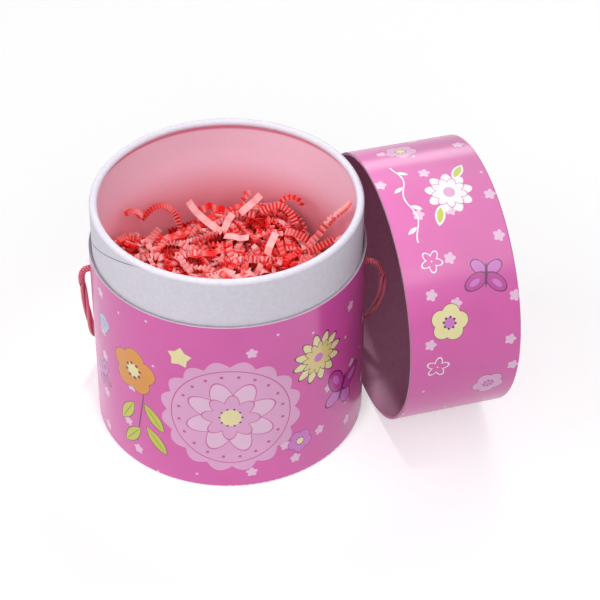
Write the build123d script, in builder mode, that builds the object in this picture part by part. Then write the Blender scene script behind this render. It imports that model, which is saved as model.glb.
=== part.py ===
from build123d import *
from math import cos, exp, sin, sqrt, pi, radians, tan
import os

# Driving sizes in millimetres, taken from the photograph with the outer diameter as the scale

# The sleeve is the printed lower tube and the neck is the white inner tube that stands above it
sleeve_radius = 75.0
sleeve_height = 113.6
neck_height = 142.5
lid_height = 62.1

# Thicknesses of the boards and papers
paper = 0.2
board = 1.3
base_board = 2.0
lid_top_board = 1.8
neck_board = 1.4
lining_paper = 0.15

# Clearances between the glued, stood and lifted pieces
glue_gap = 0.05
neck_gap = 0.25
soft_gap = 0.3

# Rolled rim at the top of the neck
rim_width = 4.25

# Folded edges of the printed paper, and how far the paper is turned in under the board
fold_radius = 0.8
turn_in = 13.0
cover_step = 1.2

# Holes for the handle cord, turned a little about the upright axis
hole_radius = 2.9
hole_drop = 17.6
hole_turn = 3.0

# Handle cord and the knots that hold it inside the neck
cord_radius = 1.9
knot_radius = 5.2
knot_face_radius = 4.4
knot_length = 9.0
knot_end_radius = 2.6
knot_gap = 0.25

# Nest of crinkle cut shreds, as one soft solid with an uneven top and a groove past each knot
nest_height = 83.0
nest_relief = 10.0
nest_groove_width = 15.0
nest_groove_gap = 1.5

# Mounds and hollows of the nest's top: place and half widths in shares of its radius, height of relief
nest_mound_shares = [
    (0.20, 0.73, 0.35, 0.20, 0.9),
    (-0.87, 0.20, 0.19, 0.26, 0.5),
    (0.15, 0.29, 0.38, 0.29, 0.2),
    (0.84, 0.03, 0.17, 0.26, 0.4),
    (-0.64, 0.87, 0.19, 0.19, -2.8),
    (0.89, 0.67, 0.19, 0.19, -2.6),
    (-0.20, 1.02, 0.20, 0.12, -1.2),
    (0.00, -0.60, 0.45, 0.30, -0.3),
]
nest_grid_count = 17

# Crinkled strips that lie on the nest, spread evenly over it and each turned its own way
strip_count = 36
strip_length = 23.0
strip_width = 4.0
strip_fold_height = 2.0
strip_fold_length = 4.0
strip_lift = 3.0
strip_root = 3.0
strip_spread_share = 0.8
strip_place_turn = 137.5
strip_way_turn = 52.5

# Where the lid lies on its side next to the box, by its mouth
lid_turn = 16.75
lid_beside_gap = 0.3
lid_offset = -15.2

# One overrun serves every cut
overrun = 5.0

# Points of the handle cord: from the left hole down, along the floor behind the box, up to the right hole
cord_route = [
    (-71.31, -3.74, 96.0),
    (-77.5, -4.1, 96.0),
    (-80.4, -3.2, 90.4),
    (-80.2, -0.2, 78.5),
    (-79.4, 4.6, 61.0),
    (-79.1, 10.8, 44.0),
    (-77.9, 19.0, 28.0),
    (-73.9, 30.5, 14.5),
    (-66.0, 44.0, 6.0),
    (-53.5, 58.5, 2.6),
    (-37.0, 71.5, 2.1),
    (-17.5, 80.5, 2.0),
    (4.0, 83.5, 2.1),
    (25.0, 78.5, 3.6),
    (43.0, 67.5, 9.5),
    (56.5, 54.8, 17.0),
    (66.4, 43.6, 24.0),
    (73.6, 32.6, 31.5),
    (79.0, 22.0, 43.0),
    (83.0, 13.6, 57.5),
    (85.0, 7.8, 74.0),
    (84.3, 5.2, 88.8),
    (78.9, 4.1, 96.0),
    (71.31, 3.74, 96.0),
]
arc_share = 0.45

# Sizes worked out from the driving sizes
board_radius = sleeve_radius - paper
bore_radius = board_radius - board
neck_radius = bore_radius - neck_gap
neck_bore = neck_radius - neck_board
lining_bore = neck_bore - glue_gap - lining_paper
rim_radius = rim_width / 2
rim_bore = neck_radius - rim_width
base_low = 2 * paper
base_top = base_low + base_board
floor_top = base_top + glue_gap + lining_paper
rim_centre_height = neck_height - rim_radius
hole_height = sleeve_height - hole_drop
cover_radius = sleeve_radius - fold_radius - cover_step
inner_fold = fold_radius - paper
nest_radius = rim_bore - soft_gap
nest_low = floor_top + soft_gap
nest_groove_reach = lining_bore - knot_gap - knot_length - nest_groove_gap
lid_board_length = lid_height - 2 * paper
lid_disc_low = lid_board_length - lid_top_board

hole_plane = Plane(
    origin=(0, 0, hole_height),
    z_dir=(cos(radians(hole_turn)), sin(radians(hole_turn)), 0),
)

# The lid's plane has its origin at the centre of the mouth and looks along the lid towards the closed end
lid_way = Vector(cos(radians(lid_turn)), sin(radians(lid_turn)), 0)
lid_side = Vector(-sin(radians(lid_turn)), cos(radians(lid_turn)), 0)
lid_mouth = (
    lid_way * (sleeve_radius + lid_beside_gap)
    + lid_side * lid_offset
    + Vector(0, 0, sleeve_radius)
)
lid_plane = Plane(origin=lid_mouth, x_dir=(0, 0, 1), z_dir=lid_way)
lid_profile_plane = Plane(origin=lid_mouth, x_dir=(0, 0, 1), z_dir=lid_side)
lid_axis = Axis(lid_mouth, lid_way)

os.makedirs("parts", exist_ok=True)


def keep(part, label):
    part.label = label
    export_step(part, f"parts/{label}.step")


def outer_corner(sketch):
    # The corner of a profile that is furthest out and nearest the fold
    return sketch.vertices().group_by(Axis.X)[-1]


# Sleeve board: plain grey tube that stands on the turned in paper
with BuildPart() as sleeve_board:
    with BuildSketch(Plane.XZ) as board_section:
        with BuildLine():
            Polyline(
                (bore_radius, base_low),
                (board_radius, base_low),
                (board_radius, sleeve_height),
                (bore_radius, sleeve_height),
                close=True,
            )
        make_face()
        fillet(outer_corner(board_section).sort_by(Axis.Y)[0], inner_fold)
    revolve(axis=Axis.Z)
    with BuildSketch(hole_plane):
        Circle(hole_radius)
    extrude(amount=sleeve_radius + overrun, both=True, mode=Mode.SUBTRACT)
keep(sleeve_board.part, "sleeve_board")

# Sleeve wrap: printed paper round the board, folded under it and turned in
with BuildPart() as sleeve_wrap:
    with BuildSketch(Plane.XZ) as wrap_section:
        with BuildLine():
            Polyline(
                (sleeve_radius - turn_in, paper),
                (sleeve_radius, paper),
                (sleeve_radius, sleeve_height),
                (board_radius, sleeve_height),
                (board_radius, base_low),
                (sleeve_radius - turn_in, base_low),
                close=True,
            )
        make_face()
        fillet(outer_corner(wrap_section).sort_by(Axis.Y)[0], fold_radius)
        fillet(
            wrap_section.vertices().sort_by_distance((board_radius, base_low))[0],
            inner_fold,
        )
    revolve(axis=Axis.Z)
    with BuildSketch(hole_plane):
        Circle(hole_radius)
    extrude(amount=sleeve_radius + overrun, both=True, mode=Mode.SUBTRACT)
keep(sleeve_wrap.part, "sleeve_wrap")

# Base disc: board that closes the sleeve's lower end
with BuildPart() as base_disc:
    with BuildSketch(Plane.XY.offset(base_low)):
        Circle(bore_radius - glue_gap)
    extrude(amount=base_board)
keep(base_disc.part, "base_disc")

# Base paper: printed paper disc under the base that hides the turned in edge
with BuildPart() as base_paper:
    with BuildSketch(Plane.XY):
        Circle(cover_radius)
    extrude(amount=paper)
keep(base_paper.part, "base_paper")

# Neck tube: white board tube through the whole sleeve, with its top edge rolled inwards
with BuildPart() as neck_tube:
    with BuildSketch(Plane.XZ):
        with BuildLine():
            Polyline(
                (neck_bore, base_top),
                (neck_radius, base_top),
                (neck_radius, rim_centre_height),
                (neck_bore, rim_centre_height),
                close=True,
            )
        make_face()
        with Locations((neck_radius - rim_radius, rim_centre_height)):
            Circle(rim_radius)
    revolve(axis=Axis.Z)
    with BuildSketch(hole_plane):
        Circle(hole_radius)
    extrude(amount=sleeve_radius + overrun, both=True, mode=Mode.SUBTRACT)
keep(neck_tube.part, "neck_tube")

# Neck lining: thin coloured paper inside the neck, from the base up to the rolled rim
with BuildPart() as neck_lining:
    with BuildSketch(Plane.XY.offset(floor_top + glue_gap)):
        Circle(lining_bore + lining_paper)
        Circle(lining_bore, mode=Mode.SUBTRACT)
    extrude(amount=rim_centre_height - rim_radius - floor_top - glue_gap)
    with BuildSketch(hole_plane):
        Circle(hole_radius)
    extrude(amount=sleeve_radius + overrun, both=True, mode=Mode.SUBTRACT)
keep(neck_lining.part, "neck_lining")

# Floor lining: disc of the same paper on the base disc
with BuildPart() as floor_lining:
    with BuildSketch(Plane.XY.offset(base_top + glue_gap)):
        Circle(neck_bore - glue_gap)
    extrude(amount=lining_paper)
keep(floor_lining.part, "floor_lining")


# Knots: one on each end of the cord, drawn up to the lining inside each hole
def knot(turn):
    way = Vector(cos(radians(turn)), sin(radians(turn)), 0)
    face = way * (lining_bore - knot_gap) + Vector(0, 0, hole_height)
    section_plane = Plane(origin=face, x_dir=(0, 0, 1), z_dir=Vector(0, 0, 1).cross(way))
    with BuildPart() as tied:
        with BuildSketch(section_plane) as half:
            with BuildLine():
                foot = Line((0, 0), (knot_face_radius, 0))
                ThreePointArc(
                    foot @ 1,
                    (knot_radius, -knot_length / 2),
                    (knot_end_radius, -knot_length),
                )
                Line((knot_end_radius, -knot_length), (0, -knot_length))
                Line((0, -knot_length), (0, 0))
            make_face()
        revolve(axis=Axis(face, way))
    return tied.part


knot_left = knot(180 + hole_turn)
keep(knot_left, "knot_left")
knot_right = knot(hole_turn)
keep(knot_right, "knot_right")


def cord_radii(points):
    # The arc at each corner is as large as its two runs allow
    radii = []
    for before, here, after in zip(points, points[1:], points[2:]):
        run_in = Vector(*here) - Vector(*before)
        run_out = Vector(*after) - Vector(*here)
        half_turn = radians(run_in.get_angle(run_out)) / 2
        shorter = min(run_in.length, run_out.length)
        radii.append(arc_share * shorter / tan(half_turn))
    return radii


# Handle cord: its free length outside the box and through the two holes, as a plain tube
arc_radii = cord_radii(cord_route)
with BuildPart() as handle_cord:
    with BuildLine() as cord_line:
        FilletPolyline(*cord_route, radius=arc_radii)
    with BuildSketch(cord_line.line ^ 0):
        Circle(cord_radius)
    sweep(path=cord_line.line)
keep(handle_cord.part, "handle_cord")


def nest_top(x, y):
    # Height of the nest's top at a place, as the sum of its mounds and hollows
    height = nest_height
    for across, back, wide, deep, high in nest_mound_shares:
        away = ((x / nest_radius - across) / wide) ** 2 + ((y / nest_radius - back) / deep) ** 2
        height += high * nest_relief * exp(-away / 2)
    return height


def strip(number):
    # One strip folded to and fro along a straight run over the nest, with its underside inside the nest
    out = strip_spread_share * nest_radius * sqrt((number + 0.5) / strip_count)
    middle = Vector(out, 0, 0).rotate(Axis.Z, number * strip_place_turn)
    half = Vector(strip_length / 2, 0, 0).rotate(Axis.Z, number * strip_way_turn)
    first, last = [
        Vector(end.X, end.Y, nest_top(end.X, end.Y) + strip_lift) for end in (middle - half, middle + half)
    ]
    way = last - first
    folds = round(way.length / strip_fold_length)
    creases = [(i * way.length / folds, strip_fold_height * (i % 2)) for i in range(folds + 1)]
    underside = -strip_lift - strip_root
    upright = Plane(origin=first, x_dir=way, z_dir=way.cross(Vector(0, 0, 1)))
    with BuildPart() as band:
        with BuildSketch(upright):
            with BuildLine():
                Polyline((way.length, underside), (0, underside), *creases, close=True)
            make_face()
        extrude(amount=strip_width / 2, both=True)
    return band.part


# Filler: nest of shreds inside the neck, with mounds and hollows and the strips that lie on top
nest_reach = nest_radius + overrun
nest_marks = [nest_reach * (2 * i / (nest_grid_count - 1) - 1) for i in range(nest_grid_count)]
nest_skin = Face.make_surface_from_array_of_points(
    [[Vector(x, y, nest_top(x, y)) for y in nest_marks] for x in nest_marks]
)
with BuildPart() as filler:
    with BuildSketch(Plane.XY.offset(nest_low)):
        Circle(nest_radius)
    extrude(amount=neck_height)
    extrude(nest_skin, amount=neck_height, dir=(0, 0, -1), mode=Mode.INTERSECT)
    add([strip(number) for number in range(strip_count)])
    # The shreds part round each knot, so they lift out past it
    groove_depth = nest_radius - nest_groove_reach + overrun
    with BuildSketch(Plane.XY.offset(nest_low)):
        with PolarLocations(nest_groove_reach + groove_depth / 2, 2, start_angle=hole_turn):
            Rectangle(groove_depth, nest_groove_width)
    extrude(amount=neck_height, mode=Mode.SUBTRACT)
keep(filler.part, "filler")
print("nest solids", len(filler.part.solids()), "faces", len(filler.part.faces()))
nest_box = filler.part.bounding_box()
print("nest from", round(nest_box.min.Z, 2), "to", round(nest_box.max.Z, 2))

# Lid board: grey tube of the lid, lying on its side with the mouth against the box
with BuildPart() as lid_board:
    with BuildSketch(lid_profile_plane) as lid_section:
        with BuildLine():
            Polyline(
                (bore_radius, 0),
                (board_radius, 0),
                (board_radius, lid_board_length),
                (bore_radius, lid_board_length),
                close=True,
            )
        make_face()
        fillet(outer_corner(lid_section).sort_by(Axis.Y)[-1], inner_fold)
    revolve(axis=lid_axis)
keep(lid_board.part, "lid_board")

# Lid disc: board glued inside the closed end of the lid
with BuildPart() as lid_disc:
    with BuildSketch(lid_plane.offset(lid_disc_low)):
        Circle(bore_radius - glue_gap)
    extrude(amount=lid_top_board)
keep(lid_disc.part, "lid_disc")

# Lid wrap: printed paper round the lid, folded over the closed end and turned in
with BuildPart() as lid_wrap:
    with BuildSketch(lid_profile_plane) as lid_wrap_section:
        with BuildLine():
            Polyline(
                (board_radius, 0),
                (sleeve_radius, 0),
                (sleeve_radius, lid_board_length + paper),
                (sleeve_radius - turn_in, lid_board_length + paper),
                (sleeve_radius - turn_in, lid_board_length),
                (board_radius, lid_board_length),
                close=True,
            )
        make_face()
        fillet(outer_corner(lid_wrap_section).sort_by(Axis.Y)[-1], fold_radius)
        fillet(
            lid_wrap_section.vertices().sort_by_distance((board_radius, lid_board_length))[0],
            inner_fold,
        )
    revolve(axis=lid_axis)
keep(lid_wrap.part, "lid_wrap")

# Lid cover: printed paper disc on the closed end
with BuildPart() as lid_cover:
    with BuildSketch(lid_plane.offset(lid_board_length + paper)):
        Circle(cover_radius)
    extrude(amount=paper)
keep(lid_cover.part, "lid_cover")

# What the cord measures
tube_length = sum(edge.length for edge in cord_line.edges())
tube_section = pi * cord_radius**2
print("cord arc radii in mm", [round(radius, 1) for radius in arc_radii])
print(
    "cord length", round(tube_length, 1),
    "volume", round(handle_cord.part.volume),
    "section times length", round(tube_section * tube_length),
)
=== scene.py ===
import bmesh
import bpy
import random
from math import atan2, cos, hypot, pi, radians, sin, sqrt
import numpy as np
from mathutils import Matrix, Vector


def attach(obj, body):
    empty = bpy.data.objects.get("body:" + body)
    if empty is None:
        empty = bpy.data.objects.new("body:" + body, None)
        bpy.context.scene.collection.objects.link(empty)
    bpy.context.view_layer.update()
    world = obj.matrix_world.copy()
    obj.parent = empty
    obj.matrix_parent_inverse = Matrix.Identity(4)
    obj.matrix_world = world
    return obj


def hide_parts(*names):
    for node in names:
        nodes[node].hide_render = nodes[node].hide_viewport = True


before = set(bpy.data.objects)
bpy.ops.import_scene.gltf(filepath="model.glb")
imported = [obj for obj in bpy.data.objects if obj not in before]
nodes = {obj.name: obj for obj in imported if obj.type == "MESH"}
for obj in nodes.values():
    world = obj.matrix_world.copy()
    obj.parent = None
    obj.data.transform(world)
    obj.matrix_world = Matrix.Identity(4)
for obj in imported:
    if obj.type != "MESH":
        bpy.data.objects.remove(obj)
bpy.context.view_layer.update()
mm = 0.001


def reach_of(name, axis):
    # How far a node of the box reaches along an axis, in millimetres
    return round(max(corner[axis] for corner in nodes[name].bound_box) / mm, 2)


# Main sizes of the box and the lid in millimetres
tube_radius = reach_of("sleeve_wrap", 0)
half_round = pi * tube_radius
sleeve_height = reach_of("sleeve_wrap", 2)
neck_radius = reach_of("neck_tube", 0)
neck_height = reach_of("neck_tube", 2)
lid_height = 62.1
hole_drop = 17.6
hole_height = sleeve_height - hole_drop
hole_turn = radians(3.0)

# Place of the lid: its axis points into it from its mouth, a little away from the X axis
lid_turn = radians(16.75)
mouth_out = 75.3
mouth_aside = 15.2
way = Vector((cos(lid_turn), sin(lid_turn), 0))
side = Vector((-sin(lid_turn), cos(lid_turn), 0))
upright = Vector((0, 0, 1))
mouth = (way * mouth_out - side * mouth_aside + upright * tube_radius) * mm

# Camera: the photograph's view, from a camera fitted to the rims of the box and the lid
camera_place = Vector((0.0392828, -0.9220983, 0.8341989))
pitch = 0.6916
roll = 0.0067
ahead = Vector((0, cos(pitch), -sin(pitch)))
above = Vector((0, sin(pitch), cos(pitch)))
across = Vector((1, 0, 0))
right = across * cos(roll) + above * sin(roll)
up = above * cos(roll) - across * sin(roll)
lens = bpy.data.cameras.new("camera")
lens.sensor_width = 36
lens.sensor_fit = "HORIZONTAL"
lens.lens = 130.0
camera = bpy.data.objects.new("camera", lens)
turned = Matrix((right, up, -ahead)).transposed()
camera.matrix_world = Matrix.Translation(camera_place) @ turned.to_4x4()
bpy.context.scene.collection.objects.link(camera)
bpy.context.scene.camera = camera


def add_node(tree, kind, sockets, out=0, **settings):
    # A new node, with its settings before its sockets, as the value of one of its outputs
    node = tree.nodes.new(kind)
    for name, setting in settings.items():
        setattr(node, name, setting)
    for where, value in sockets.items():
        if isinstance(value, Value):
            tree.links.new(value.socket, node.inputs[where])
        else:
            node.inputs[where].default_value = value
    return Value(tree, node.outputs[out])


class Value:
    """A shader value. Arithmetic on it adds maths nodes to its material."""

    def __init__(self, tree, socket):
        self.tree = tree
        self.socket = socket

    def make(self, kind, sockets, out=0, **settings):
        return add_node(self.tree, kind, sockets, out, **settings)

    def op(self, operation, other=0.0, third=0.0):
        return self.make("ShaderNodeMath", {0: self, 1: other, 2: third}, operation=operation)

    def __add__(self, other):
        return self.op("ADD", other)

    __radd__ = __add__

    def __sub__(self, other):
        return self.op("SUBTRACT", other)

    def __rsub__(self, other):
        return self.op("MULTIPLY_ADD", -1.0, other)

    def __mul__(self, other):
        return self.op("MULTIPLY", other)

    __rmul__ = __mul__

    def __truediv__(self, other):
        return self.op("DIVIDE", other)

    def between(self, low, high, start=0.0, end=1.0):
        # A smooth step from start to end while the value goes from low to high
        return self.make(
            "ShaderNodeMapRange",
            {0: self, 1: low, 2: high, 3: start, 4: end},
            interpolation_type="SMOOTHSTEP",
        )

    def joined(self, other, third=0.0):
        return self.make("ShaderNodeCombineXYZ", {0: self, 1: other, 2: third})

    def split(self):
        parts = self.make("ShaderNodeSeparateXYZ", {0: self})
        return [Value(self.tree, socket) for socket in parts.socket.node.outputs]

    def far(self, other):
        # The length of the line whose two sides are this value and the other
        return self.joined(other).make(
            "ShaderNodeVectorMath", {0: self.joined(other)}, out=1, operation="LENGTH"
        )

    def placed(self, x, y, turn=0.0, size=1.0):
        # This point as seen from a place on the print, turned and sized
        return self.make(
            "ShaderNodeMapping",
            {
                "Vector": self,
                "Location": (x, y, 0),
                "Rotation": (0, 0, radians(turn)),
                "Scale": (size, size, size),
            },
            vector_type="TEXTURE",
        )

    def noise(self, scale, detail=2.0, roughness=0.5):
        return self.make(
            "ShaderNodeTexNoise",
            {"Vector": self, "Scale": scale, "Detail": detail, "Roughness": roughness},
        )

    def mixed(self, first, second):
        # A colour from first, where this value is 0, to second, where it is 1
        return self.make("ShaderNodeMix", {0: self, 6: first, 7: second}, out=2, data_type="RGBA")


def tint(red, green, blue):
    # A colour given as bytes, as a linear colour for a socket
    def linear(byte):
        share = byte / 255
        return share / 12.92 if share <= 0.04045 else ((share + 0.055) / 1.055) ** 2.4

    return (linear(red), linear(green), linear(blue), 1.0)


class Paint:
    """A material: its tree, its main shader and the coordinates of the surface."""

    def __init__(self, name, **constants):
        self.material = bpy.data.materials.new(name)
        self.material.use_nodes = True
        self.tree = self.material.node_tree
        self.shader = self.tree.nodes["Principled BSDF"]
        for key, value in constants.items():
            self.shader.inputs[key.replace("_", " ")].default_value = value
        self.point = self.source("ShaderNodeTexCoord", "Object")

    def source(self, kind, out, **settings):
        return add_node(self.tree, kind, {}, out, **settings)

    def link(self, **inputs):
        for key, value in inputs.items():
            self.tree.links.new(value.socket, self.shader.inputs[key.replace("_", " ")])

    def let_through(self, share, colour):
        # Thin paper: a part of the light goes through it
        surface = Value(self.tree, self.shader.outputs[0])
        through = surface.make("ShaderNodeBsdfTranslucent", {"Color": colour})
        blend = surface.make("ShaderNodeMixShader", {0: share, 1: surface, 2: through})
        self.tree.links.new(blend.socket, self.tree.nodes["Material Output"].inputs["Surface"])

    def bump(self, height, strength=0.3, distance=0.0001):
        normal = height.make(
            "ShaderNodeBump", {"Height": height, "Strength": strength, "Distance": distance}
        )
        self.link(Normal=normal)


# Inks of the print
ground = tint(222, 88, 174)
pale = tint(232, 168, 212)
pale_high = tint(240, 196, 226)
cream = tint(244, 232, 172)
cream_deep = tint(236, 214, 140)
magenta = tint(196, 62, 160)
lilac = tint(214, 120, 205)
dark = tint(96, 22, 84)
sky = tint(184, 200, 236)
gold = tint(232, 150, 40)
lime = tint(202, 204, 48)
olive = tint(140, 140, 30)
rose = tint(206, 84, 156)
white = tint(250, 246, 250)
paper_edge = tint(236, 200, 222)
mouth_edge = tint(162, 116, 144)


def ink(picture, colour, outside, soft=0.12):
    # Lays a colour on the picture wherever the shape's distance is below zero
    return outside.between(soft, -soft).mixed(picture, colour)


def edged(picture, colour, outside, rim, line=dark, soft=0.12):
    # Lays a colour with a line round it
    return ink(ink(picture, line, outside - rim, soft), colour, outside, soft)


def flower(place, count, reach, wide):
    # Distance outside the nearest of a ring of equal petals, and distance from its middle
    p, q, spare = place.split()
    away = p.far(q)
    turn = q.op("ARCTAN2", p).op("PINGPONG", pi / count)
    along = (away * turn.op("COSINE") - reach / 2) / (reach / 2)
    aside = away * turn.op("SINE") / wide
    return (along.far(aside) - 1.0) * wide, away


def scallops(place, count, radius, depth):
    # Distance outside a disc with a scalloped edge, and distance from its middle
    p, q, spare = place.split()
    away = p.far(q)
    wave = (q.op("ARCTAN2", p) * (count / 2)).op("SINE").op("ABSOLUTE")
    return away - wave * depth - radius, away


def oval(place, x, y, turn, long, wide):
    # Distance outside an oval
    p, q, spare = place.placed(x, y, turn).split()
    return ((p / long).far(q / wide) - 1.0) * wide


def leaf(place, x, y, turn, long, wide):
    # Distance outside a pointed leaf
    p, q, spare = place.placed(x, y, turn).split()
    bend = (long * long - wide * wide) / (2 * wide)
    return p.far(q.op("ABSOLUTE") + bend) - (bend + wide)


def star(place, count, radius, lean):
    # Distance outside a star with straight edges
    p, q, spare = place.split()
    away = p.far(q)
    turn = q.op("ARCTAN2", p).op("PINGPONG", pi / count)
    return away * (turn.op("COSINE") * cos(lean) + turn.op("SINE") * sin(lean)) - radius * cos(lean)


def dots(place, count, ring, radius):
    # Distance outside the nearest of a ring of dots
    p, q, spare = place.split()
    away = p.far(q)
    turn = q.op("ARCTAN2", p).op("PINGPONG", pi / count)
    return (away * turn.op("COSINE") - ring).far(away * turn.op("SINE")) - radius


def butterfly(picture, point, x, y, turn, size, wing, under):
    # Two pairs of wings, mirrored about the body
    p, q, spare = point.placed(x, y, turn, size).split()
    half = p.op("ABSOLUTE").joined(q)
    soft = 0.12 / size
    picture = edged(picture, under, oval(half, 4.4, -4.2, -38, 4.6, 3.1) + 0.15, 0.5, dark, soft)
    picture = edged(picture, wing, oval(half, 5.6, 3.6, 36, 6.6, 3.9) + 0.15, 0.5, dark, soft)
    picture = ink(picture, under, oval(half, 6.2, 4.2, 36, 3.2, 1.5), soft)
    return ink(picture, dark, oval(half, 0, 0, 90, 6.4, 0.75), soft)


def blossom(picture, point, x, y, turn, size, petals, heart):
    # Plain flower with a round centre and a ring of dark dots round it
    place = point.placed(x, y, turn, size)
    edge, away = flower(place, 5, 9.4, 4.5)
    picture = edged(picture, petals, edge, 0.3 / size, dark, 0.12 / size)
    picture = ink(picture, heart, away - 2.9, 0.12 / size)
    return ink(picture, dark, dots(place, 8, 3.0, 0.62), 0.1 / size)


def outlined(picture, point, x, y, turn, size):
    # Small flower drawn with a white line only
    edge, away = flower(point.placed(x, y, turn, size), 5, 7.0, 2.1)
    return ink(picture, white, edge.op("ABSOLUTE") - 0.28, 0.1 / size)


def sprinkle(picture, point, cell):
    # Small dots and small blossoms at loose distances
    spot = point.make(
        "ShaderNodeTexVoronoi",
        {"Vector": point, "Scale": 1 / cell, "Randomness": 0.7},
        out=2,
        voronoi_dimensions="2D",
    )
    lot = Value(spot.tree, spot.socket.node.outputs["Color"]).split()[0]
    local = point.make("ShaderNodeVectorMath", {0: point, 1: spot}, operation="SUBTRACT")
    edge, away = flower(local.placed(0, 0, 20), 5, 3.3, 1.25)
    kind = lot.between(0.45, 0.46)
    shape = edge * kind + (away - 0.85) * (1.0 - kind)
    return ink(picture, pale_high, shape + lot.between(0.16, 0.14) * 9.0)


def medallion(picture, badge):
    # Scalloped disc with a ring of dots and two rings of petals
    edge, away = scallops(badge, 16, 28.6, 3.2)
    picture = ink(picture, pale, edge)
    picture = ink(picture, rose, (away - 26.4).op("ABSOLUTE") - 0.26)
    picture = ink(picture, rose, dots(badge.placed(0, 0, 9), 20, 23.2, 0.8))
    petals, away = flower(badge.placed(0, 0, 18), 8, 20.0, 4.9)
    picture = edged(picture, pale_high, petals, 0.34, rose)
    petals, away = flower(badge.placed(0, 0, 40.5), 8, 12.5, 3.2)
    picture = edged(picture, pale, petals, 0.3, rose)
    picture = ink(picture, cream, away - 4.6)
    return ink(picture, dark, dots(badge, 10, 4.9, 0.5), 0.1)


def bare_ground(paint):
    # The print's ground colour, before anything is laid on it
    colour = paint.source("ShaderNodeRGB", 0)
    colour.socket.default_value = ground
    return colour


def gloss(paint, picture):
    # Printed gloss paper: slight unevenness of ink, gloss and flatness
    mottle = paint.point.noise(38.0, 3.0)
    fine = paint.point.noise(900.0, 2.0)
    shade = picture.make(
        "ShaderNodeHueSaturation",
        {"Color": picture, "Value": mottle.between(0.3, 0.7, 0.97, 1.03)},
    )
    paint.link(Base_Color=shade, Roughness=fine.between(0.3, 0.7, 0.2, 0.26))
    wave = paint.point.noise(24.0, 1.0) * 6.0 + fine * 0.06
    paint.bump(wave, 0.25, 0.0002)


def sleeve_point(paint):
    # Millimetres round the sleeve from its front, repeated once at the back, and up
    x, y, z = paint.point.split()
    turn = x.op("ARCTAN2", y * -1.0) * tube_radius
    return (turn + half_round / 2).op("WRAP", half_round, 0.0) - half_round / 2, z / mm


# Where the lid's print starts again, in millimetres round it from its front
print_start = 75.0


def lid_point(paint):
    # Millimetres round the lid, repeated once, and in from its mouth; and a flat point for its end
    out = paint.point.make(
        "ShaderNodeVectorMath", {0: paint.point, 1: tuple(mouth)}, operation="SUBTRACT"
    )
    aside, along = [
        out.make("ShaderNodeVectorMath", {0: out, 1: tuple(d)}, out=1, operation="DOT_PRODUCT")
        for d in (-side, way)
    ]
    high = out.split()[2]
    turn = high.op("ARCTAN2", aside) * tube_radius
    u = (turn + print_start).op("WRAP", half_round, 0.0) - print_start
    return u, along / mm, (aside / mm).joined(high / mm)


# Print of the sleeve: a medallion with flowers, leaves, butterflies and a star round it
sleeve_print = Paint("sleeve_print", Specular_IOR_Level=0.8)
u, v = sleeve_point(sleeve_print)
spot = u.joined(v)
picture = sprinkle(bare_ground(sleeve_print), spot, 23.0)
picture = medallion(picture, spot.placed(3, 51, 0, 1.24))
picture = ink(picture, dark, oval(spot, -50, 38, 80, 22, 0.45))
for x, y, turn in ((-60, 36, 58), (-41, 40, 128), (-57, 20, 52), (-40, 24, 130)):
    picture = ink(picture, dark, leaf(spot, x, y, turn, 10.2, 4.0))
    picture = ink(picture, lime, leaf(spot, x, y, turn, 9.7, 3.5))
    picture = ink(picture, olive, oval(spot, x, y, turn, 8.2, 0.3))
for x, y, turn, size, petals, heart in (
    (-54, 68, 12, 1.6, gold, cream),
    (-80, 84, 8, 0.62, sky, pale),
    (42, 24, 50, 0.8, lilac, cream),
):
    picture = blossom(picture, spot, x, y, turn, size, petals, heart)
petals, away = flower(spot.placed(54, 78, 8), 12, 16.0, 2.7)
picture = edged(picture, cream, petals, 0.35)
petals, away = flower(spot.placed(54, 78, 23), 12, 10.5, 1.9)
picture = edged(picture, cream_deep, petals, 0.3)
picture = ink(picture, lilac, away - 3.0)
picture = butterfly(picture, spot, 74, 44, -22, 1.4, magenta, lilac)
picture = butterfly(picture, spot, -86, 44, 28, 0.95, lilac, magenta)
picture = ink(picture, cream, star(spot.placed(-24, 90, 12), 5, 7.0, 0.9))
picture = v.between(sleeve_height - 0.5, sleeve_height - 0.3).mixed(picture, paper_edge)
gloss(sleeve_print, picture)

# Print of the lid: flowers, a butterfly and a vine round it, a medallion on its closed end
lid_print = Paint("lid_print", Specular_IOR_Level=0.8)
u, v, flat = lid_point(lid_print)
spot = u.joined(v)
picture = sprinkle(bare_ground(lid_print), spot, 25.0)
for x, y, turn, size, petals, heart in (
    (26, 22, 12, 1.1, cream, lilac),
    (-22, 46, 40, 0.95, pale, lilac),
    (140, 24, 40, 0.95, pale, cream),
):
    picture = blossom(picture, spot, x, y, turn, size, petals, heart)
picture = outlined(picture, spot, 0, 15, 10, 0.9)
picture = outlined(picture, spot, 60, 17, 34, 0.85)
picture = butterfly(picture, spot, 48, 45, 100, 1.0, magenta, lilac)
for x, y, turn in ((110, 46, 40), (84, 28, 200)):
    picture = ink(picture, white, leaf(spot, x, y, turn, 6.4, 2.8))
    picture = ink(picture, lime, leaf(spot, x, y, turn, 4.8, 1.8))
petals, away = flower(spot.placed(97, 37, 8), 9, 13.0, 3.3)
picture = ink(picture, white, petals)
petals, away = flower(spot.placed(97, 37, 28), 9, 9.5, 2.4)
picture = edged(picture, white, petals, 0.3, ground)
picture = ink(picture, pale, away - 3.2)
vine = (v - (u * 0.24).op("SINE") * 1.8 - 14.0).op("ABSOLUTE") - 0.4
ends = (u - 97.0).op("ABSOLUTE") - 26.0
picture = ink(picture, white, vine.op("MAXIMUM", ends))
for x, y, turn in ((78, 11, 60), (91, 17, 120), (104, 11, 60), (116, 17, 120)):
    picture = ink(picture, white, leaf(spot, x, y, turn, 3.2, 1.2))
picture = v.between(0.32, 0.18).mixed(picture, mouth_edge)
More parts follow.
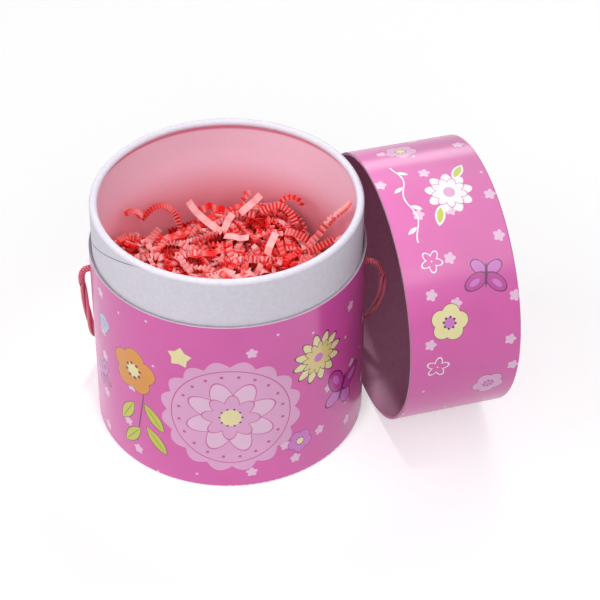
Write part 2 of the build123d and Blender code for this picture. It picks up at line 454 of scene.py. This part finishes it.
end_print = medallion(sprinkle(bare_ground(lid_print), flat, 21.0), flat.placed(0, 0, 11, 1.3))
picture = v.between(lid_height - 0.6, lid_height - 0.4).mixed(picture, end_print)
gloss(lid_print, picture)

# Print under the base: the ground colour with the same sprinkle
base_print = Paint("base_print", Specular_IOR_Level=0.8)
x, y, z = base_print.point.split()
gloss(base_print, sprinkle(bare_ground(base_print), (x / mm).joined(y / mm), 19.0))


def fibre(paint, first, second, bump, streak=0.6):
    # Pressed board: fibres that run round the tube, clouds and sparse specks
    x, y, z = paint.point.split()
    round_it = x.op("ARCTAN2", y * -1.0) * (tube_radius * mm)
    flat = round_it.joined(z, x.far(y))
    long = flat.make("ShaderNodeMapping", {"Vector": flat, "Scale": (260, 1300, 1300)})
    strands = long.noise(1.0, 4.0, 0.65)
    cloud = paint.point.noise(420.0, 4.0, 0.6)
    specks = paint.point.noise(1500.0, 1.0)
    mix = strands.between(0.25, 0.75) * streak + cloud.between(0.3, 0.7) * (1 - streak)
    colour = mix.mixed(first, second)
    colour = specks.between(0.74, 0.8, 0.0, 0.35).mixed(colour, tint(80, 72, 76))
    paint.link(Base_Color=colour, Roughness=cloud.between(0.2, 0.8, 0.72, 0.92))
    paint.bump(strands * streak + cloud, bump, 0.0002)
    return colour


# Raw grey board of the sleeve and the base, and the lid's board, painted rosier and lighter for the pink
# light the box throws into it
greyboard = Paint("greyboard")
fibre(greyboard, tint(136, 130, 138), tint(160, 154, 162), 0.35)
lid_board = Paint("lid_greyboard_painted_pink_light")
# The lid board's pink and lightness are painted reflected light, not the board's own grey
fibre(lid_board, tint(205, 150, 180), tint(220, 168, 196), 0.35)

# White board of the neck, with the edge of its outer ply as a thin line that climbs round it
ply_turn = radians(168.3)
ply_height = 121.8
ply_rise = 33.2
ply_droop = 10.2
ply_end = radians(46)
white_board = Paint("white_board", Coat_Weight=0.08, Coat_Roughness=0.3)
colour = fibre(white_board, tint(222, 217, 230), tint(231, 227, 238), 0.16, 0.2)
x, y, z = white_board.point.split()
past = y.op("ARCTAN2", x) + ply_turn
climb = past * ply_rise - past * past * ply_droop + ply_height
seam = (z / mm - climb).op("ABSOLUTE")
reach = past.between(radians(-8), radians(-3)) * past.between(ply_end, radians(34), 0.0, 0.9)
outer_face = (x.far(y) / mm).between(neck_radius - 1.05, neck_radius - 0.35)
line = seam.between(0.44, 0.18) * reach * outer_face
white_board.link(Base_Color=line.mixed(colour, tint(96, 92, 104)))

# Pink paper inside the neck and on the floor, with a painted shadow under the rim and painted red bounce
# light near the shreds
painted_bounce_low = 84.0
painted_bounce_high = 116.0
rim_shade = neck_height - 6.4
pink_lining = Paint("pink_lining", Coat_Weight=0.12, Coat_Roughness=0.35)
colour = fibre(pink_lining, tint(255, 214, 234), tint(255, 222, 240), 0.1, 0.4)
high = pink_lining.point.split()[2] / mm
# Deeper pink towards the shreds: painted red light bounced from them
colour = high.between(painted_bounce_high, painted_bounce_low, 0.0, 0.9).mixed(colour, tint(255, 164, 182))
# Darker pink just under the rim: painted shadow of the rim's overhang
colour = high.between(rim_shade - 1.2, rim_shade, 0.0, 0.75).mixed(colour, tint(222, 96, 134))
pink_lining.link(Base_Color=colour)

for names, paint in (
    (("sleeve_board", "base_disc"), greyboard),
    (("lid_board", "lid_disc"), lid_board),
    (("sleeve_wrap",), sleeve_print),
    (("base_paper",), base_print),
    (("lid_wrap", "lid_cover"), lid_print),
    (("neck_tube",), white_board),
    (("neck_lining", "floor_lining"), pink_lining),
):
    for name in names:
        nodes[name].data.materials.clear()
        nodes[name].data.materials.append(paint.material)


def shown(name, mesh, paint):
    # Puts a mesh into the scene with its material
    mesh.materials.clear()
    mesh.materials.append(paint.material)
    made = bpy.data.objects.new(name, mesh)
    bpy.context.scene.collection.objects.link(made)
    return made


def finished(name, shape, paint):
    # Puts a bmesh into the scene, with its faces turned outwards
    bmesh.ops.recalc_face_normals(shape, faces=shape.faces[:])
    mesh = bpy.data.meshes.new(name)
    shape.to_mesh(mesh)
    shape.free()
    return shown(name, mesh, paint)


def step(value, low, high):
    # A smooth step from 0 to 1 while the value goes from low to high
    share = min(max((value - low) / (high - low), 0.0), 1.0)
    return share * share * (3 - 2 * share)


def evenly(points, spacing):
    # The same line with points at even distances, and how far along each one lies
    spans = [(b - a).length for a, b in zip(points, points[1:])]
    marks = np.concatenate(([0.0], np.cumsum(spans)))
    at = np.linspace(0, marks[-1], int(marks[-1] / spacing) + 1)
    flat = np.array([tuple(p) for p in points])
    return np.stack([np.interp(at, marks, flat[:, k]) for k in range(3)], 1), at


# Handle cord: the route's points in millimetres, the same as in the part's source
route = [
    (-71.31, -3.74, 96.0),
    (-77.5, -4.1, 96.0),
    (-80.4, -3.2, 90.4),
    (-80.2, -0.2, 78.5),
    (-79.4, 4.6, 61.0),
    (-79.1, 10.8, 44.0),
    (-77.9, 19.0, 28.0),
    (-73.9, 30.5, 14.5),
    (-66.0, 44.0, 6.0),
    (-53.5, 58.5, 2.6),
    (-37.0, 71.5, 2.1),
    (-17.5, 80.5, 2.0),
    (4.0, 83.5, 2.1),
    (25.0, 78.5, 3.6),
    (43.0, 67.5, 9.5),
    (56.5, 54.8, 17.0),
    (66.4, 43.6, 24.0),
    (73.6, 32.6, 31.5),
    (79.0, 22.0, 43.0),
    (83.0, 13.6, 57.5),
    (85.0, 7.8, 74.0),
    (84.3, 5.2, 88.8),
    (78.9, 4.1, 96.0),
    (71.31, 3.74, 96.0),
]
route_curve = bpy.data.curves.new("cord_route", "CURVE")
route_curve.dimensions = "3D"
spline = route_curve.splines.new("NURBS")
spline.points.add(len(route) - 1)
for place, point in zip(spline.points, route):
    place.co = (point[0] * mm, point[1] * mm, point[2] * mm, 1)
spline.order_u = 3
spline.use_endpoint_u = True
spline.resolution_u = 32
holder = bpy.data.objects.new("cord_route", route_curve)
bpy.context.scene.collection.objects.link(holder)
bpy.context.view_layer.update()
cord_path = [Vector(v.co) for v in bpy.data.meshes.new_from_object(holder).vertices]
bpy.data.objects.remove(holder)
bpy.data.curves.remove(route_curve)

# Cord material: satin yarn with fine fibres along it, with a painted highlight where each strand stands out
# and painted shade in the grooves between strands
cord_paint = Paint("cord_yarn", Sheen_Weight=0.35, Sheen_Roughness=0.4)
around = cord_paint.source("ShaderNodeUVMap", 0)
threads = around.make("ShaderNodeMapping", {"Vector": around, "Scale": (26, 97, 1)})
threads = threads.noise(1.0, 2.0, 0.6)
crown = cord_paint.source("ShaderNodeAttribute", "Fac", attribute_name="crown")
painted_crown_light = threads.between(0.3, 0.7).mixed(tint(245, 94, 124), tint(252, 144, 162))
# Deep crimson in the grooves is painted shade, the lighter crown colour a painted highlight
cord_paint.link(
    Base_Color=crown.mixed(tint(146, 0, 38), painted_crown_light),
    Roughness=threads.between(0.3, 0.7, 0.45, 0.6),
)
cord_paint.bump(threads, 0.5, 0.0002)


def unit_tangents(line):
    # The direction of a line at each of its points
    tangents = np.gradient(line, axis=0)
    return tangents / np.linalg.norm(tangents, axis=1)[:, None]


def carried_normals(points):
    # Two directions across a line at each of its points, carried along it without a twist
    tangents = unit_tangents(points)
    normal = np.cross(tangents[0], (0.3, 0.9, 0.2))
    normals = []
    for tangent in tangents:
        normal = normal - tangent * np.dot(normal, tangent)
        normal = normal / np.linalg.norm(normal)
        normals.append(normal)
    normals = np.array(normals)
    return normals, np.cross(tangents, normals)


# How much thicker a strand is where the cord is opened out
open_swell = 0.18


def yarn(name, lines, radius, swell):
    # Round yarns along some lines as one mesh, which knows how far out from their middle it is
    curve = bpy.data.curves.new(name, "CURVE")
    curve.dimensions = "3D"
    curve.bevel_depth = radius
    curve.bevel_resolution = 4
    curve.use_fill_caps = True
    for points in lines:
        run = curve.splines.new("POLY")
        run.points.add(len(points) - 1)
        for place, point, thickness in zip(run.points, points, swell):
            place.co = (*point, 1)
            place.radius = thickness
    drawn = bpy.data.objects.new(name, curve)
    bpy.context.scene.collection.objects.link(drawn)
    bpy.context.view_layer.update()
    mesh = bpy.data.meshes.new_from_object(drawn)
    bpy.data.objects.remove(drawn)
    bpy.data.curves.remove(curve)
    mesh.shade_smooth()
    made = shown(name, mesh, cord_paint)
    middle = sum(np.array(points) for points in lines) / len(lines)
    # crown goes from 0 in the grooves between strands to 1 on their crowns; the cord's material paints it
    # as shade and highlight
    crown = mesh.attributes.new("crown", "FLOAT", "POINT")
    for vertex in mesh.vertices:
        reach = np.linalg.norm(middle - np.array(vertex.co), axis=1)
        open_here = (swell[reach.argmin()] - 1.0) / open_swell
        low = 1.66 - 0.74 * open_here
        high = 1.88 - 0.18 * open_here
        crown.data[vertex.index].value = step(reach.min() / mm, low, high)
    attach(made, "box")
    return made


# Cord: three strands, tight at both holes and opened out where the cord bends away below them
cord_spacing = 0.45
strand_radius = 0.85
tight_pitch = 4.4
open_pitch = 110
cord_line, cord_at = evenly(cord_path, cord_spacing * mm)
cord_length = float(cord_at[-1])
normals, binormals = carried_normals(cord_line)
phase = 0.0
strands = [[], [], []]
swell = []
for i, at in enumerate(cord_at):
    reach = min(at, cord_length - at) / mm
    loose = step(reach, 17, 27) * (1 - step(reach, 70, 90))
    pitch_here = tight_pitch * (1 - loose) + open_pitch * loose + step(reach, 75, 110) * 2.0
    phase += 2 * pi * cord_spacing / pitch_here
    spread = (1.05 + 0.1 * loose) * mm
    swell.append(1.0 + open_swell * loose)
    for k, strand in enumerate(strands):
        a = phase + 2 * pi * k / 3
        strand.append(cord_line[i] + spread * (cos(a) * normals[i] + sin(a) * binormals[i]))
cord = yarn("cord_strands", strands, strand_radius * mm, swell)
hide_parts("handle_cord")

# Knots inside the box, one on each end of the cord, each with its short tail
knot_out = 67.6
knot_size = 1.08
knot_depth = 1.7
knot_yarn = 1.75
knot_crown = 0.75
for name, turn in (("knot_left", hole_turn + pi), ("knot_right", hole_turn)):
    out = Vector((cos(turn), sin(turn), 0.0))
    aside = Vector((-out.y, out.x, 0.0))
    centre = out * knot_out + upright * hole_height
    tied = []
    for t in np.linspace(0, 2 * pi, 90):
        x = (sin(t) + 2 * sin(2 * t)) * knot_size
        y = (cos(t) - 2 * cos(2 * t)) * knot_size
        tied.append((centre + aside * x + upright * y - out * sin(3 * t) * knot_depth) * mm)
    tied += [(centre + out * d) * mm for d in np.linspace(3.6, -4.8, 12)]
    knot = yarn(name + "_tied", [tied], knot_yarn * mm, [1.0] * len(tied))
    # The knots take one even mix of the cord's painted shade and highlight
    for mark in knot.data.attributes["crown"].data:
        mark.value = knot_crown
    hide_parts(name)


# Shreds: crinkle cut paper, each strip folded to and fro along its length
shred_paint = Paint("shred_paper", Roughness=0.5, Specular_IOR_Level=0.35)
shred_paint.let_through(0.48, tint(255, 104, 98))
# tone: each strip's own tone, with painted light and shade across its creases and painted shade on strips
# sunk deep in the heap
tone = shred_paint.source("ShaderNodeAttribute", "Fac", attribute_name="tone")
grain = shred_paint.point.noise(1800.0, 2.0)
shade = tone.between(0.0, 1.0).mixed(tint(255, 46, 42), tint(255, 232, 232))
shade = (grain.between(0.3, 0.7) * 0.1).mixed(shade, tint(255, 200, 196))
shred_paint.link(Base_Color=shade)
shred_paint.bump(grain, 0.15, 0.0001)

# Sizes of the shreds and of the nest in millimetres
half_thick = 0.09
nest_level = 85.5
nest_depth = 15.0
nest_floor = 3.4
strip_reach = 66.2
least_creases = 6
most_over = 3.8
most_dip = 1.2
laid_over = 0.4
wall_round = 68.0
groove_half = 7.6
groove_inner = 60.6
groove_top = 102.0
wall_strips = 360
floor_strips = 120

# How the random strips of the heap are picked
most_strips = 760
most_tries = 12000
places_compared = 6
drop_reach = 66
least_room = 0.5
flat_share = 0.55
standing_share = 0.07
most_sunk = 7

chance = random.Random(41)
strip_corners = ((-1, -1), (1, -1), (1, 1), (-1, 1))


def nest_piece(name, shape):
    # One of the pieces that take the place of the solid nest
    made = finished(name, shape, shred_paint)
    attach(made, "shreds")
    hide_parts("filler")


class Pile:
    """Strips that are made one after the other, and the mesh that they form."""

    def __init__(self):
        self.shape = bmesh.new()
        self.shape.verts.layers.float.new("tone")
        self.single = bpy.data.meshes.new("single_strip")

    def strip(self, line, aside, facing, width, folds, shade):
        # The strip's end is drawn out from crease to crease; aside and facing are directions there
        strip = bmesh.new()
        tone = strip.verts.layers.float.new("tone")
        end = strip.faces.new([strip.verts.new() for corner in strip_corners])
        for i, crease in enumerate(line):
            if i > 0:
                grown = bmesh.ops.extrude_face_region(strip, geom=[end, *end.edges])["geom"]
                end = next(item for item in grown if isinstance(item, bmesh.types.BMFace))
            lift = folds[i] if i % 2 else -folds[i]
            # Creases that stand up are painted lighter, those facing down deeper red: painted light and
            # shade across each fold
            crease_painted_light = 0.5 if lift * facing[i][2] > 0 else -0.5
            for corner, (s, t) in zip(end.verts, strip_corners):
                across = aside[i] * (s * width / 2)
                corner.co = (crease + facing[i] * (lift + t * half_thick) + across) * mm
                corner[tone] = shade + crease_painted_light * min(abs(lift) / 1.2, 1.0)
        strip.to_mesh(self.single)
        strip.free()
        self.shape.from_mesh(self.single)

    def built(self, name):
        bpy.data.meshes.remove(self.single)
        nest_piece(name, self.shape)


def wander(x, y, heading, length, spacing, bend, limit=None):
    # A loose curve in the flat, which turns along the wall where it meets it
    points = [(x, y)]
    headings = [heading]
    turn = chance.uniform(-bend, bend)
    for i in range(int(length / spacing)):
        turn += chance.gauss(0, bend * 0.25)
        turn *= 0.96
        heading += turn * spacing
        veer = 0.08 if x * sin(heading) - y * cos(heading) > 0 else -0.08
        while limit and hypot(x + cos(heading) * spacing, y + sin(heading) * spacing) > limit:
            heading += veer
        x += cos(heading) * spacing
        y += sin(heading) * spacing
        points.append((x, y))
        headings.append(heading)
    return points, headings


def in_groove(x, y, z):
    # The room that is kept free round each knot
    along = x * cos(hole_turn) + y * sin(hole_turn)
    off = -x * sin(hole_turn) + y * cos(hole_turn)
    return abs(off) < groove_half and abs(along) > groove_inner and z < groove_top


def level(x, y):
    # How high the heap is meant to come
    def mound(cx, cy, wx, wy, high):
        return high * np.exp(-((x - cx) ** 2 / (2 * wx * wx) + (y - cy) ** 2 / (2 * wy * wy)))

    return (
        nest_level
        + mound(14, 48, 22, 12, 5)
        + mound(-60, 14, 13, 18, 5)
        + mound(10, 20, 26, 20, 2)
        + mound(58, 2, 12, 18, 4)
        - mound(-44, 60, 13, 13, 28)
        - mound(61, 46, 13, 13, 26)
        - mound(-14, 70, 14, 8, 12)
        - mound(0, -41, 31, 21, 3)
    )


# The heap's height on a grid of whole millimetres: as it is meant to be, and as it has grown
grid_reach = 70
grid = np.arange(-grid_reach, grid_reach + 1)
goal = level(grid[:, None], grid[None, :])
heap = goal - nest_depth


def cell(x, y):
    # The place of a point on that grid
    return tuple(min(max(int(round(c)) + grid_reach, 0), 2 * grid_reach) for c in (x, y))


def crinkle():
    # Length of a fold and how far the folds are drawn out: pressed close, half open or nearly flat
    kind = chance.random()
    if kind < 0.72:
        return chance.uniform(2.4, 3.1), chance.uniform(0.32, 0.46)
    if kind < 0.93:
        return chance.uniform(2.8, 3.8), chance.uniform(0.5, 0.68)
    return chance.uniform(4.0, 5.2), chance.uniform(0.88, 0.97)


def fold_sizes(fold_length, squeeze):
    # How far one fold goes along the strip, and how far it swings out to each side
    return fold_length * squeeze, fold_length * sqrt(1 - squeeze**2) / 2


def running_mean(values):
    # The mean of seven neighbours at each place
    padded = np.concatenate((values[:1].repeat(3), values, values[-1:].repeat(3)))
    return np.convolve(padded, np.ones(7) / 7, "valid")


def drop(pile, x, y, heading, length, lean, stand):
    # Lets a strip fall on the heap
    width = chance.uniform(3.0, 3.7)
    spacing, swing = fold_sizes(*crinkle())
    points, headings = wander(x, y, heading, length, spacing, 0.035, strip_reach)
    if len(points) < least_creases:
        return False
    heights = []
    for (a, b), h in zip(points, headings):
        under = [heap[cell(a - sin(h) * k, b + cos(h) * k)] for k in (-1.6, 0, 1.6)]
        heights.append(max(under))
    heights = np.array(heights)
    rest = np.maximum(running_mean(heights), heights - most_dip)
    rest += abs(sin(lean)) * width / 2 + swing * cos(lean) * 0.8
    if max(z - level(a, b) for (a, b), z in zip(points, rest)) > most_over:
        return False
    count = len(points)
    tilt = np.array([lean + 0.4 * sin(i * 0.21 + x) for i in range(count)])
    lift = [stand * step((i / (count - 1) - 0.45) / 0.55, 0, 1) for i in range(count)]
    line = np.array([(a, b, z) for (a, b), z in zip(points, rest + lift)])
    if any(in_groove(*p) for p in line):
        return False
    tangent = unit_tangents(line)
    level_aside = np.array([(-sin(h), cos(h), 0) for h in headings])
    facing = np.cross(tangent, level_aside)
    aside = level_aside * np.cos(tilt)[:, None] + facing * np.sin(tilt)[:, None]
    facing = np.cross(tangent, aside)
    folds = [swing] * count
    if chance.random() < 0.5 and stand == 0:
        folds = [swing * (0.75 + 0.25 * sin(i * 0.5)) for i in range(count)]
    sunk = goal[cell(x, y)] - rest[0]
    # Strips sunk deep under the heap's goal go towards the deepest red: painted shade
    shade = (0.1 + chance.random() ** 1.8 * 0.8) * (1 - step(sunk, 2, 7))
    pile.strip(line, aside, facing, width, folds, shade)
    for (a, b), h, z in zip(points, headings, rest):
        for k in (-1.5, 0, 1.5):
            for m in (-0.6, 0.6):
                under = cell(a - sin(h) * k + cos(h) * m, b + cos(h) * k + sin(h) * m)
                heap[under] = max(heap[under], z + swing * 0.5 * cos(lean))
    return True


# Random strips: out of a few places, each drops where the heap falls most short of its goal
top_pile = Pile()
laid = 0
tries = 0
while laid < most_strips and tries < most_tries:
    tries += 1
    lowest = None
    for k in range(places_compared):
        r = drop_reach * sqrt(chance.random())
        a = chance.uniform(0, 2 * pi)
        x, y = r * cos(a), r * sin(a)
        short = goal[cell(x, y)] - heap[cell(x, y)]
        if lowest is None or short > lowest[0]:
            lowest = (short, x, y)
    short, x, y = lowest
    if short < least_room:
        continue
    if chance.random() < flat_share:
        lean = chance.gauss(0, 0.35)
    else:
        lean = chance.choice((-1, 1)) * chance.uniform(0.7, 1.5)
    stand = chance.uniform(4, 11) if chance.random() < standing_share and short < most_sunk else 0.0
    heading = chance.uniform(0, 2 * pi)
    laid += drop(top_pile, x, y, heading, chance.uniform(18, 48), lean, stand)


def lay(lean, shade, fold_length, squeeze, width, *points):
    # Lays one strip along a smoothed line through some given points, never below the heap
    spacing, swing = fold_sizes(fold_length, squeeze)
    marks, spare = evenly([Vector(p) for p in points], 1.0)
    eased = np.stack([running_mean(marks[:, k]) for k in range(3)], 1)
    line, spare = evenly([Vector(p) for p in eased], spacing)
    line[:, 2] = [max(z, heap[cell(x, y)] + laid_over) for x, y, z in line]
    tangent = unit_tangents(line)
    level_aside = np.cross((0.0, 0.0, 1.0), tangent)
    level_aside /= np.linalg.norm(level_aside, axis=1)[:, None]
    if level_aside[:, 1].mean() < 0:
        level_aside = -level_aside
    over = np.cross(tangent, level_aside)
    over = over * np.sign(over[:, 2:])
    aside = level_aside * cos(radians(lean)) + over * sin(radians(lean))
    top_pile.strip(line, aside, np.cross(tangent, aside), width, [swing] * len(line), shade)


# Strips that stand out in the photograph, each with its lean, shade, folds, width and points
lay(30, 0.95, 4.4, 0.97, 4.0, (-24.8, 59, 95), (-19.9, 49.3, 94), (-10.3, 37, 93.5), (-3.5, 31, 93))
lay(35, 0.9, 4.0, 0.95, 4.0, (-4, 31, 93), (-1.5, 38, 96), (1.5, 43, 98))
lay(15, 0.9, 4.6, 0.96, 4.0, (-4, 29.5, 93), (3.3, 27, 93), (11.5, 26.8, 93))
lay(35, 0.95, 4.6, 0.94, 4.0, (5, 42, 98), (11.8, 47.8, 101), (17.5, 51.5, 105))
lay(8, 1.0, 4.6, 0.98, 4.2, (20.7, 15.2, 89), (21.5, 17, 92.5), (23.5, 21.5, 95.5), (26, 26.5, 97.5))
lay(35, 0.6, 3.2, 0.34, 4.0, (-2.4, 42.5, 96), (3, 44.5, 96.5), (9.1, 44.5, 96.5), (14.7, 43.5, 96))
lay(
    30, 0.45, 3.0, 0.33, 4.0,
    (15.7, 44.4, 97), (21, 46, 100), (28.2, 46.7, 101), (33.9, 43.3, 98), (36.8, 39.2, 93),
)
lay(40, 0.6, 3.2, 0.5, 4.0, (43, 20, 92), (49.2, 30, 93), (54.5, 34.3, 98.5), (58.2, 29.7, 106.8))
lay(50, 0.62, 4.2, 0.8, 4.0, (57.6, 30.6, 105.5), (61.7, 21, 116.8), (64.3, 8.6, 129.1), (64.7, 0, 137))
lay(30, 0.35, 3.4, 0.6, 3.6, (57.5, 23.5, 91), (61.2, 18, 100), (63.6, 11, 106), (64.9, 4, 110))
lay(25, 0.35, 3.0, 0.34, 4.0, (42.2, 15.5, 92), (48.5, 18.3, 93), (54, 20.5, 94.5), (59, 22, 97))
lay(20, 0.62, 2.9, 0.36, 4.0, (-46, 22, 91), (-43, 29, 92), (-38.5, 35, 93.5))
lay(-25, 0.55, 3.3, 0.34, 4.0, (-21.2, 24, 92), (-15, 28, 92.5), (-8.5, 31.3, 92.5), (-1.5, 33, 92))
lay(20, 0.15, 2.9, 0.34, 4.0, (-62.3, 20.2, 95), (-58.1, 26.5, 93), (-52.6, 27.9, 91), (-46.2, 28.3, 89))
lay(70, 0.15, 2.6, 0.36, 3.0, (-57.4, 30.5, 106), (-54.6, 35.4, 105), (-51.8, 39.6, 101), (-49.6, 42.3, 95))
lay(
    62, 0.2, 2.8, 0.34, 3.2,
    (-49.8, 40, 95), (-44, 47, 98), (-38.3, 51.5, 97), (-33, 54.5, 91), (-30, 52, 86),
    (-27.5, 49.5, 74),
)
lay(
    80, 0.15, 3.2, 0.5, 3.0,
    (25, 57, 86), (27.5, 57.5, 95), (31.8, 56, 100), (38, 51.5, 102), (40.5, 48, 99),
)
lay(72, 0.2, 5.2, 0.62, 4.0, (-20, 52, 92), (-12, 54, 95), (-4, 50, 94), (2, 48, 93))
lay(30, 0.5, 3.0, 0.34, 4.0, (30, 34, 92), (37, 30, 94), (44, 27, 91))
lay(25, 0.55, 3.0, 0.34, 4.0, (-30, 12, 88), (-22, 17, 90), (-13, 16, 89))
lay(40, 0.5, 3.0, 0.36, 4.0, (2, 8, 88), (12, 12, 90), (22, 9, 90), (31, 12, 89))
lay(35, 0.5, 3.0, 0.36, 4.0, (-52, 8, 90), (-44, 14, 90), (-36, 12, 89))
lay(30, 0.55, 3.0, 0.34, 4.0, (30, -4, 88), (40, 2, 90), (50, 2, 91))
lay(35, 0.9, 4.4, 0.93, 4.0, (-12, -4, 87), (-4, 2, 88), (4, 0, 88))
top_pile.built("shreds_top")


def press(pile, count, place, wide, high, room):
    # Strips that press flat against the wall or the floor of the box
    laid = 0
    while laid < count:
        width = chance.uniform(3.6, 4.0)
        spacing, swing = fold_sizes(*crinkle())
        x, y = chance.uniform(*wide), chance.uniform(*high)
        heading = chance.uniform(0, 2 * pi)
        points, spare = wander(x, y, heading, chance.uniform(24, 60), spacing, 0.03)
        depth = chance.uniform(0, 3.5)
        if not all(room(a, b) for a, b in points):
            continue
        spots = [place(a, b, depth + swing) for a, b in points]
        line = np.array([s[0] for s in spots])
        if any(in_groove(*p) for p in line):
            continue
        facing = np.array([s[1] for s in spots])
        aside = np.cross(facing, unit_tangents(line))
        aside /= np.linalg.norm(aside, axis=1)[:, None]
        shade = 0.12 + chance.random() ** 2 * 0.8
        pile.strip(line, aside, facing, width, [swing] * len(line), shade)
        laid += 1


def on_wall(a, b, depth):
    # A place on the wall, from a length round it and a height, and the way out there
    t = a / wall_round
    r = wall_round + 0.2 - depth
    return np.array((r * cos(t), r * sin(t), b)), np.array((cos(t), sin(t), 0.0))


def on_floor(a, b, depth):
    # A place on the floor, and the way out there
    return np.array((a, b, nest_floor + depth)), np.array((0.0, 0.0, -1.0))


side_pile = Pile()
press(side_pile, wall_strips, on_wall, (0, 2 * pi * wall_round), (6, 78), lambda a, b: 5.4 < b < 79)
press(side_pile, floor_strips, on_floor, (-64, 64), (-64, 64), lambda a, b: hypot(a, b) < 65.5)
side_pile.built("shreds_side")

# Core behind the strips: a closed turned form, whose top follows the heap a little below it
sides = 96
core_wall = ((0, 5.0), (30, 5.0), (57, 5.2), (59.5, 8), (59.8, 30), (59.8, 55), (59.0, 64))
core_top = (56, 48, 40, 32, 24, 16, 8, 0)
core_brim = 70.0
core_middle = 45
core_sink = 8.0
core = bmesh.new()
core.verts.layers.float.new("tone")
profile = [core.verts.new((r * mm, 0, z * mm)) for r, z in core_wall]
profile += [core.verts.new((r * mm, 0, core_brim * mm)) for r in core_top]
for start, end in zip(profile, profile[1:]):
    core.edges.new((start, end))
bmesh.ops.spin(
    core,
    geom=core.verts[:] + core.edges[:],
    cent=(0, 0, 0),
    axis=(0, 0, 1),
    angle=2 * pi,
    steps=sides,
    use_merge=True,
)
bmesh.ops.remove_doubles(core, verts=core.verts[:], dist=0.001 * mm)
uneven = []
for corner in core.verts:
    x, y, z = corner.co / mm
    if z > core_brim - 1:
        uneven.append((-round(hypot(x, y)), round(atan2(y, x) / (2 * pi) * sides) % sides, corner))
for ring, part, corner in sorted(uneven, key=lambda found: found[:2]):
    x, y, z = corner.co / mm
    below = nest_depth if -ring > core_middle else core_sink
    corner.co.z = (level(x, y) - below + chance.uniform(-0.8, 0.8)) * mm
nest_piece("shreds_core", core)


# How thick a printed paper's lap stands up
lap_thick = 0.16


def lap(name, place, low, high, start, end, paint, body):
    # The end of a printed paper over its start: it rises from nothing to one paper's thickness
    over = tube_radius + lap_thick
    corners = ((tube_radius, low), (over, low), (over, high), (tube_radius, high))
    shape = bmesh.new()
    shape.faces.new([shape.verts.new((r * mm, 0, z * mm)) for r, z in corners])
    bmesh.ops.spin(
        shape,
        geom=shape.verts[:] + shape.edges[:] + shape.faces[:],
        cent=(0, 0, 0),
        axis=(0, 0, 1),
        angle=end - start,
        steps=12,
    )
    for corner in shape.verts:
        x, y, z = corner.co / mm
        if hypot(x, y) > tube_radius + lap_thick / 2:
            rise = step(atan2(y, x) / (end - start), 0, 0.2)
            size = (tube_radius + lap_thick * rise) / over
            corner.co = Vector((x * size, y * size, z)) * mm
    bmesh.ops.remove_doubles(shape, verts=shape.verts[:], dist=0.001 * mm)
    bmesh.ops.transform(
        shape, matrix=place @ Matrix.Rotation(start, 4, "Z"), verts=shape.verts[:]
    )
    made = finished(name, shape, paint)
    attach(made, body)


# Laps where the printed papers end on themselves, at the back of the sleeve and low on the lid
lid_place = Matrix.Translation(mouth) @ Matrix((side, upright, way)).transposed().to_4x4()
lap(
    "sleeve_lap", Matrix.Identity(4), 0.9, sleeve_height,
    radians(84), radians(91), sleeve_print, "box",
)
lap(
    "lid_lap", lid_place, 0.0, lid_height - 0.9,
    radians(-52), radians(-45), lid_print, "lid",
)

# Floor: white to the camera, a little below the box so that their faces don't meet
floor_drop = 0.2
floor_paint = Paint(
    "floor",
    Base_Color=(0.66, 0.66, 0.66, 1),
    Roughness=0.9,
    Specular_IOR_Level=0.1,
    Emission_Strength=1.0,
)
seen = floor_paint.source("ShaderNodeLightPath", "Is Camera Ray")
glossy = floor_paint.source("ShaderNodeLightPath", "Is Glossy Ray")
glow = seen.op("MAXIMUM", glossy) * 0.5
floor_paint.link(Emission_Color=glow.joined(glow, glow))
ground_sheet = bmesh.new()
bmesh.ops.create_grid(ground_sheet, x_segments=1, y_segments=1, size=4)
bmesh.ops.translate(ground_sheet, verts=ground_sheet.verts[:], vec=(0, 0, -floor_drop * mm))
finished("floor", ground_sheet, floor_paint)

# Backdrop: white where it is seen directly or in gloss, dimmer as a light
world = bpy.data.worlds.new("studio")
bpy.context.scene.world = world
world.use_nodes = True
sky_tree = world.node_tree
background = sky_tree.nodes["Background"]
camera_ray, glossy_ray, clear_ray = [
    add_node(sky_tree, "ShaderNodeLightPath", {}, f"Is {kind} Ray")
    for kind in ("Camera", "Glossy", "Transmission")
]
white_ray = camera_ray.op("MAXIMUM", glossy_ray).op("MAXIMUM", clear_ray)
strength = white_ray.between(0.0, 1.0, 0.3, 1.0)
sky_tree.links.new(strength.socket, background.inputs["Strength"])
background.inputs["Color"].default_value = (1, 1, 1, 1)


def hung(name, light, place, aim, power):
    # Hangs a lamp at a place and turns it to what it lights
    light.energy = power
    made = bpy.data.objects.new(name, light)
    made.location = place
    made.rotation_euler = (Vector(aim) - Vector(place)).to_track_quat("-Z", "Y").to_euler()
    bpy.context.scene.collection.objects.link(made)


for name, place, aim, size, power in (
    ("long_panel", (0.404, 0.535, 1.25), (0.356, 0.763, 0.1), (0.4, 3.3), 7.3),
    ("back_panel", (0.28, 3.0, 1.3), (0.1, 0.0, 0.1), (1.0, 0.8), 8),
    ("front_panel", (0.0, -1.75, 1.15), (0.0, 0.0, 0.1), (2.4, 1.5), 14.6),
    ("left_panel", (-1.3, -0.4, 0.8), (0.0, 0.0, 0.08), (1.0, 1.0), 7),
):
    panel = bpy.data.lights.new(name, "AREA")
    panel.shape = "RECTANGLE"
    panel.size = size[0]
    panel.size_y = size[1]
    hung(name, panel, place, aim, power)

# A spot from above that reaches down into the box
beam = bpy.data.lights.new("box_spot", "SPOT")
beam.spot_size = radians(10.4)
beam.spot_blend = 0.35
beam.shadow_soft_size = 0.06
hung("box_spot", beam, (0.0, -0.1, 1.15), (0.0, 0.0, 0.1), 28)

bpy.context.scene.view_settings.view_transform = "Standard"
